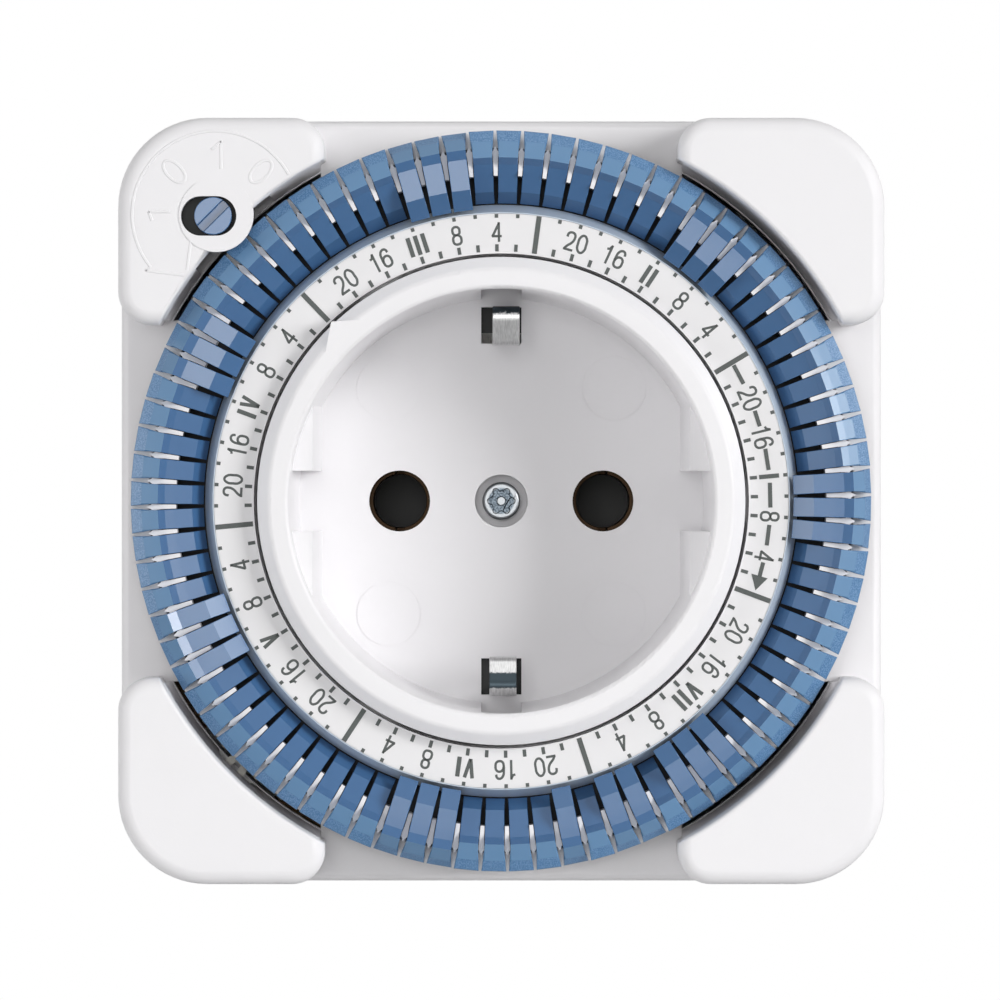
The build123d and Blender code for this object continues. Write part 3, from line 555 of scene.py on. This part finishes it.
figures = {letter: figure(letter) for letter in FIGURE_STROKES}
day_stroke = bar(-BAR_WIDTH / 2, BAR_WIDTH / 2, -BAR_HEIGHT / 2, BAR_HEIGHT / 2, INK)
v_point = (0, -BAR_HEIGHT / 2 + V_POINT)
day_v = joined(stroke([(side * V_HALF, BAR_HEIGHT / 2), v_point], V_STROKE, INK, False)
               for side in (-1, 1))
inner_tick = bar(-TICK_WIDTH / 2, TICK_WIDTH / 2, *INNER_TICK, INK)
outer_tick = bar(-TICK_WIDTH / 2, TICK_WIDTH / 2, *OUTER_TICK, INK)
midnight_line = bar(-LINE_WIDTH / 2, LINE_WIDTH / 2, *MIDNIGHT_LINE, INK)

dial_print = bmesh.new()
for day in range(DAYS):
    for slot in range(SLOTS):
        turn = FIRST_MIDNIGHT - (day * SLOTS + slot) * PITCH
        if slot == 0:
            on_plane(midnight_line, dial_print, turn=turn, height=LABEL_FACE)
        else:
            on_plane(inner_tick, dial_print, turn=turn, height=LABEL_FACE)
            on_plane(outer_tick, dial_print, turn=turn, height=LABEL_FACE)
        if slot in HOURS:
            text = HOURS[slot]
            for n, letter in enumerate(text):
                across = (n - (len(text) - 1) / 2) * FIGURE_STEP
                on_plane(figures[letter], dial_print, across, FIGURE_AT, turn, LABEL_FACE)
        elif slot == NOON:
            widths = [2 * V_HALF + V_STROKE if letter == "V" else BAR_WIDTH for letter in ROMAN[day]]
            left = -(sum(widths) + (BAR_STEP - BAR_WIDTH) * (len(widths) - 1)) / 2
            for letter, width in zip(ROMAN[day], widths):
                shape = day_v if letter == "V" else day_stroke
                on_plane(shape, dial_print, left + width / 2, FIGURE_AT, turn, LABEL_FACE)
                left += width + BAR_STEP - BAR_WIDTH
for start, end in DASHES:
    half = FIGURE_AT * radians(end - start) / 2
    dash = bar(-half, half, -DASH_WIDTH / 2, DASH_WIDTH / 2, INK)
    on_plane(dash, dial_print, 0, FIGURE_AT, (start + end) / 2, LABEL_FACE)
head = bmesh.new()
head_length = FIGURE_AT * radians(ARROW[1] - ARROW[0])
head_corners = ((0, -ARROW_HALF, 0), (head_length, 0, 0), (0, ARROW_HALF, 0))
head_face = head.faces.new([head.verts.new(corner) for corner in head_corners])
lifted = bmesh.ops.extrude_face_region(head, geom=[head_face])["geom"]
bmesh.ops.translate(head, verts=[v for v in lifted if isinstance(v, bmesh.types.BMVert)], vec=(0, 0, INK))
head_mesh = bpy.data.meshes.new("arrow head")
head.to_mesh(head_mesh)
on_plane(head_mesh, dial_print, 0, FIGURE_AT, ARROW[0], LABEL_FACE)
new_piece(dial_print, "dial_print", ink.material, "label_print", "dial")

# ---- Rockers: 84 tipping segments, twelve for each day, in blocks that tip together ----
# Each is moulded in mid blue with a bevelled tip, a smooth bar, a crest over the pivot, and behind the
# crest a facet that slopes away and ends in a wider, spark-grained finger pad. The facet's paler blue is
# painted sheen, and the pad's paler blue is partly painted sheen and partly its spark grain.
PIVOT_RADIUS = 32.0
PIVOT_HEIGHT = 43.3
TILT = 28.0  # of a rocker that is off
CREST = 0.45  # out from the pivot, as is the pad
PAD_FROM = 1.5
PAD_STEP = 0.02  # length of the step at which the pad gets wider
FACET_FROM = 0.5  # where the facet painted paler begins, past the crest's rounded edge
# sections of a rocker that is on, from the tip outwards: out from the pivot, top and underside up from it,
# and the half widths of the top and of the foot
ROCKER_SECTIONS = (
    (-5.08, 0.14, -0.08, 0.87, 0.895), (-3.22, 1.44, 0.25, 0.865, 0.88), (-1.3, 1.41, -0.2, 0.885, 0.895),
    (-0.42, 1.39, -0.8, 0.885, 0.895), (CREST, 1.69, -0.85, 0.885, 0.895), (0.9, 1.16, -0.85, 0.89, 0.96),
    (PAD_FROM, 0.44, -0.85, 0.89, 1.07), (PAD_FROM + PAD_STEP, 0.38, -0.85, 1.01, 1.08),
    (1.94, -0.25, -0.84, 1.08, 1.14), (2.08, -0.48, -0.58, 1.1, 1.155))
SIDE_DROP = 0.35  # from the top's edge down to where the side is at its widest
ROCKER_EDGE = 0.06
EASED_FROM = 12  # degrees between the two faces of an edge


def rocker_shape():
    """A rocker that is on, at the top of the dial, drawn out section by section from its tip."""
    shape = bmesh.new()
    pad = shape.faces.layers.float.new("pad")  # 0 on the bar, a half on the facet with painted sheen, 1 on the pad
    for n, (out, top, low, half_top, half_foot) in enumerate(ROCKER_SECTIONS):
        shoulder = max(top - SIDE_DROP, (top + low) / 2)
        outline = ((-half_top, top), (-half_foot, shoulder), (-half_foot, low),
                   (half_foot, low), (half_foot, shoulder), (half_top, top))
        corners = [Vector((across, -PIVOT_HEIGHT - up, PIVOT_RADIUS + out)) for across, up in outline]
        if n == 0:
            leading = shape.faces.new([shape.verts.new(corner) for corner in corners])
        else:
            grown = bmesh.ops.extrude_face_region(shape, geom=[leading])["geom"]
            leading = [part for part in grown if isinstance(part, bmesh.types.BMFace)][0]
            for vert in leading.verts:
                nearest = min(range(len(corners)), key=lambda i: (vert.co - last_corners[i]).length)
                vert.co = corners[nearest]
        last_corners = corners
    bmesh.ops.recalc_face_normals(shape, faces=shape.faces)
    edges = [edge for edge in shape.edges if edge.calc_face_angle(0) > radians(EASED_FROM)]
    eased = bmesh.ops.bevel(shape, geom=edges, offset=ROCKER_EDGE, offset_type="OFFSET", segments=2,
                            profile=0.5, affect="EDGES", clamp_overlap=True, material=-1)["faces"]
    for face in shape.faces:
        out = face.calc_center_median().z - PIVOT_RADIUS
        face[pad] = 0.5 * (out > FACET_FROM) + 0.5 * (out > PAD_FROM)
        face.smooth = face in eased
    mesh = bpy.data.meshes.new("rocker")
    shape.to_mesh(mesh)
    return mesh


blue = Finish("rocker_blue", specular_ior_level=0.5)
speckle = blue.noise(0.09, 3)
behind_crest = blue.add("ShaderNodeAttribute", {"attribute_name": "pad"}, {}, "Fac")
on_pad = behind_crest.between(0.5, 1)
# Painted sheen: the facet behind the crest is a paler blue. The pad is paler too, partly painted sheen and
# partly its spark grain.
body_blue = blue.mix(blue.noise(1.5, 3), (0.047, 0.128, 0.280, 1), (0.053, 0.140, 0.300, 1))
pad_grain_and_sheen_blue = blue.mix(speckle.between(0.40, 0.64), (0.060, 0.165, 0.335, 1), (0.16, 0.30, 0.50, 1))
facet_sheen_blue = blue.mix(on_pad, (0.125, 0.255, 0.435, 1), pad_grain_and_sheen_blue)
blue.set("Base Color", blue.mix(behind_crest.between(0, 0.5), body_blue, facet_sheen_blue))
blue.set("Roughness", 0.21 + 0.04 * speckle + 0.09 * on_pad)
blue.relief(speckle * (0.05 + 0.95 * on_pad), 0.007)

ROCKERS_A_BLOCK = 3
HOURS_A_BLOCK = 2 * ROCKERS_A_BLOCK
SPLIT_BLOCKS = {(6, 18): ((9, 11), (10,)), (7, 0): ((0, 1), (2,))}  # day and hour: the rockers of each part
ON_FROM = 6  # on every day, the block from this hour is on
ALSO_ON = ((6, 10), (7, 0))  # day and first rocker of the block

rocker_on = rocker_shape()
rocker_off = rocker_on.copy()
pivot = Matrix.Translation((0, -PIVOT_HEIGHT, PIVOT_RADIUS))
rocker_off.transform(pivot @ Matrix.Rotation(radians(TILT), 4, "X") @ pivot.inverted())

for day in range(1, DAYS + 1):
    for hour in range(0, 24, HOURS_A_BLOCK):
        first = hour // 2
        for slots in SPLIT_BLOCKS.get((day, hour), (tuple(range(first, first + ROCKERS_A_BLOCK)),)):
            is_on = hour == ON_FROM or (day, slots[0]) in ALSO_ON
            block = bmesh.new()
            for slot in slots:
                turn = FIRST_MIDNIGHT - ((day - 1) * SLOTS + slot + 0.5) * PITCH
                placed = (rocker_on if is_on else rocker_off).copy()
                placed.transform(Matrix.Rotation(radians(turn), 4, "Y"))
                block.from_mesh(placed)
            start = 2 * slots[0] if len(slots) == 1 else hour
            place = f"day{day}_{start:02d}h"
            new_piece(block, f"segments_{place}", blue.material, "rocker_blue", f"rockers_{place}",
                      f"rockers_{place}", smooth=None)

# ---- Selector: the blue knob in its slot, on a black slide, with marks moulded round it ----
# The knob is the rockers' plastic, turned with a screwdriver; the slide closes the slot from below. Low
# ridges on the block show the knob's settings: upright 1 at the top and lying at the left, 0 at the two
# corners between.
black = Finish("black_moulding", specular_ior_level=0.35)
black.set("Base Color", black.mix(black.noise(0.4), (0.006, 0.007, 0.007, 1), (0.014, 0.015, 0.016, 1)))
black.set("Roughness", 0.45 + 0.1 * black.noise(0.2))
KNOB_AT = (-26.5, 26.2)
KNOB_SHARE = 0.985  # of its full width, so that it stops just short of the slot's ends
knob = from_cad("selector_knob", "knob", blue.material, edge=0.06)
knob_middle = Matrix.Translation((KNOB_AT[0] * MM, 0, KNOB_AT[1] * MM))
knob.data.transform(knob_middle @ Matrix.Diagonal((KNOB_SHARE, 1, KNOB_SHARE, 1)) @ knob_middle.inverted())
from_cad("selector_slide", "slide_under_slot", black.material)

BLOCK_FACE = 46.0
DIAL_OF_SELECTOR = (-26.27, 26.33)
DIAL_RADIUS = 7.67
DIAL_FROM, DIAL_TO = 28.5, 219.2  # degrees counter-clockwise from the right
MARK_WIDTH = 0.30
MARK_RISE = 0.085
ZERO = (1.27, 0.68)  # half length and half width
ZEROS = ((-30.05, 30.28, 45), (-22.09, 30.28, -45))  # across, up, and lean of the top to the left
# straight lines, each from one end to the other
UPRIGHT_ONE = (((-25.76, 30.5), (-25.76, 33.1)), ((-25.76, 33.05), (-26.6, 32.3)))
LYING_ONE = (((-30.45, 26.58), (-32.4, 26.58)), ((-32.4, 26.6), (-32.1, 25.75)))
CORNER_LINES = (((-32.29, 21.42), (-32.69, 21.19)), ((-32.69, 21.19), (-29.2, 20.75)),
                ((-28.5, 24.1), (-28.9, 21.2)))


def round_line(centre, across, up, start, end, step, lean=0.0):
    """Points on part of an ellipse, turned by its lean."""
    count = round((end - start) / step)
    turned = Matrix.Rotation(radians(lean), 2)
    angles = [radians(start + (end - start) * n / count) for n in range(count + 1)]
    points = [turned @ Vector((across * cos(angle), up * sin(angle))) for angle in angles]
    return [tuple(Vector(centre) + point) for point in points]


dial_line = round_line(DIAL_OF_SELECTOR, DIAL_RADIUS, DIAL_RADIUS, DIAL_FROM, DIAL_TO, step=7)
marks = [stroke(dial_line, MARK_WIDTH, MARK_RISE)]
for x, z, lean in ZEROS:
    zero_line = round_line((x, z), ZERO[1], ZERO[0], 0, 330, step=30, lean=lean)
    marks.append(stroke(zero_line, MARK_WIDTH, MARK_RISE, closed=True))
for points in UPRIGHT_ONE + LYING_ONE + CORNER_LINES:
    marks.append(stroke(points, MARK_WIDTH, MARK_RISE, smooth=False))
selector_marks = bmesh.new()
for mark in marks:
    on_plane(mark, selector_marks, height=BLOCK_FACE)
casing_body = frame["nodes"]["front_cover"]["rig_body"]
new_piece(selector_marks, "selector_marks", casing_white, "casing_white", casing_body)

# ---- Inside: switch, motor, gear train, contacts' carrier and leads ----
# None of it shows until the casing is opened. The wheels are acetal and the plate is brass. Black sheets
# behind the holes of the earth clips are painted shade, and the near-black contacts' carrier is painted shade
# at the bottom of the pin holes.
# Painted shade: black sheets behind the holes of the earth clips.
SHADE_SHEET_HALF = 1.9
SHADE_SHEET_HEIGHT = 26.0
SHADE_SHEET_RISE = 0.1
SHADE_SHEETS = ((15.7, 18.7), (-18.7, -14.4))  # from and to, up from the middle

hole_shade_sheets = bmesh.new()
for low, high in SHADE_SHEETS:
    on_plane(bar(-SHADE_SHEET_HALF, SHADE_SHEET_HALF, low, high, SHADE_SHEET_RISE), hole_shade_sheets, height=SHADE_SHEET_HEIGHT)
new_piece(hole_shade_sheets, "painted_shade_in_earth_holes", black.material, "black", casing_body)


def plain_moulding(name, colour, roughness):
    """Unpainted engineering plastic."""
    finish = Finish(name)
    darker = [0.85 * c for c in colour[:3]] + [1]
    finish.set("Base Color", finish.mix(finish.noise(0.8, 3), darker, colour))
    finish.set("Roughness", roughness + 0.1 * finish.noise(0.2))
    finish.relief(finish.noise(0.2), 0.004)
    return finish.material


# Painted shade: the contacts' carrier is near black, for the bottom of the pin holes.
carrier_painted_shade = plain_moulding("heat_proof_moulding", (0.010, 0.009, 0.008, 1), 0.5)
gear_white = plain_moulding("natural_acetal", (0.75, 0.73, 0.66, 1), 0.4)
brown_wire = plain_moulding("brown_insulation", (0.16, 0.07, 0.04, 1), 0.4)
black_wire = plain_moulding("black_insulation", (0.03, 0.03, 0.03, 1), 0.4)
can_steel = drawn_metal("drawn_can_steel", (0.5, 0.5, 0.5, 1), 0.3, 0.15, (1, 0.1, 1))
winding = drawn_metal("copper_winding", (0.55, 0.25, 0.12, 1), 0.3, 0.12, (0.1, 1, 0.1))
for node, material, slot in (
        ("contact_carrier", carrier_painted_shade, "inner_grey"), ("live_lead", brown_wire, "lead_brown"),
        ("switched_lead", brown_wire, "lead_brown"), ("motor_leads", black_wire, "lead_black"),
        ("motor_can", can_steel, "motor_steel"), ("motor_coil", winding, "coil_copper"),
        ("motor_rotor", can_steel, "motor_steel"), ("movement_plate", brass, "brass"),
        ("first_wheel", gear_white, "gear_plastic"), ("second_wheel", gear_white, "gear_plastic"),
        ("drive_pinion", gear_white, "gear_plastic"), ("feeler", gear_white, "gear_plastic"),
        ("microswitch_body", black.material, "black")):
    inner = frame["nodes"][node]
    inner.data.materials.clear()
    inner.data.materials.append(material)
